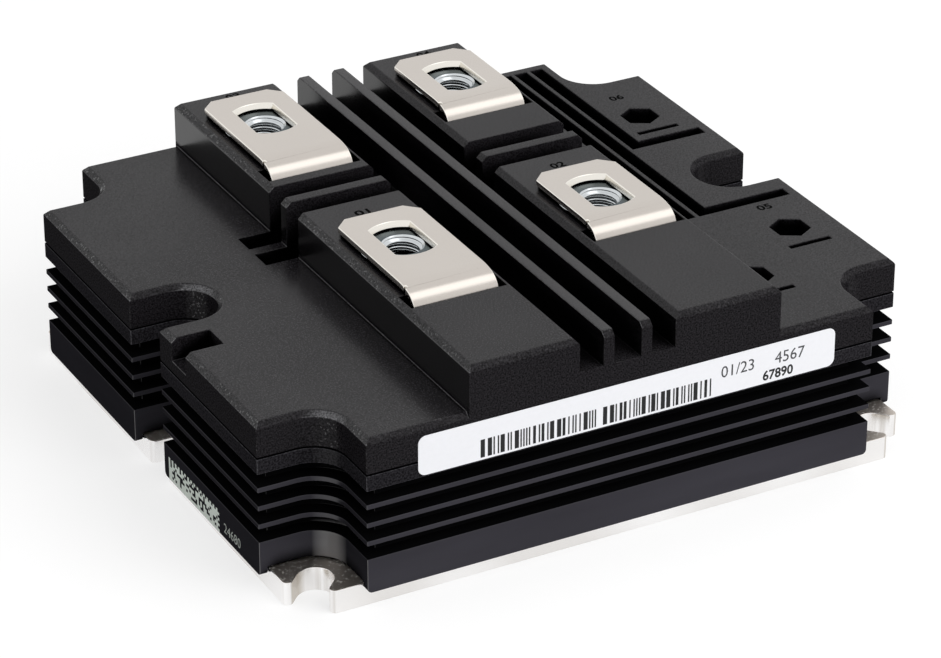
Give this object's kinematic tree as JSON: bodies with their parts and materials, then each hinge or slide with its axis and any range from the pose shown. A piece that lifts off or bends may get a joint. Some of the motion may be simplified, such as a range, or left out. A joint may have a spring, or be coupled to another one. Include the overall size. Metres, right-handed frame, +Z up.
{
  "type": "power diode module",
  "caption": "Flat black box-shaped power semiconductor module with a plated baseplate, finned sides and bent screw terminals on raised blocks, for mounting on a heatsink.",
  "frame": {"origin": "centre of the baseplate's lower face", "axes": "+X along the side that carries the label, +Y from the label to the back, +Z up from the baseplate"},
  "size_m": [0.14, 0.1302, 0.048],
  "materials": {
    "plated_baseplate": "nickel plated, satin",
    "adhesive": "matt",
    "frame_plastic": "satin moulding",
    "lid_plastic": "fine-grained matt moulding",
    "zinc_steel": "zinc plated",
    "gel": "clear soft gel",
    "label": "printed film",
    "nickel_copper": "nickel plated, satin",
    "copper": "bare copper",
    "ceramic": "fired ceramic",
    "silicon": "metallised chip",
    "bond_aluminium": "drawn wire"
  },
  "bodies": {
    "root": {"baseplate": "plated_baseplate", "base_seal": "adhesive", "housing_frame": "frame_plastic", "lid_seal": "adhesive", "housing_lid": "lid_plastic", "lid_trough": "lid_plastic", "gap_ribs": "lid_plastic", "terminal_block_front_left": "lid_plastic", "terminal_block_front_right": "lid_plastic", "terminal_block_rear_left": "lid_plastic", "terminal_block_rear_right": "lid_plastic", "terminal_nuts": "zinc_steel", "silicone_gel": "gel", "front_label": "label", "cathode_terminal_front": "nickel_copper", "cathode_terminal_rear": "nickel_copper", "anode_terminal_front": "nickel_copper", "anode_terminal_rear": "nickel_copper", "backside_copper_front_left": "copper", "backside_copper_front_right": "copper", "backside_copper_rear_left": "copper", "backside_copper_rear_right": "copper", "ceramic_tile_front_left": "ceramic", "ceramic_tile_front_right": "ceramic", "ceramic_tile_rear_left": "ceramic", "ceramic_tile_rear_right": "ceramic", "circuit_copper_front_left": "copper", "circuit_copper_front_right": "copper", "circuit_copper_rear_left": "copper", "circuit_copper_rear_right": "copper", "diode_chips_front_left": "silicon", "diode_chips_front_right": "silicon", "diode_chips_rear_left": "silicon", "diode_chips_rear_right": "silicon", "bond_wires_front_left": "bond_aluminium", "bond_wires_front_right": "bond_aluminium", "bond_wires_rear_left": "bond_aluminium", "bond_wires_rear_right": "bond_aluminium"}
  },
  "joints": []
}
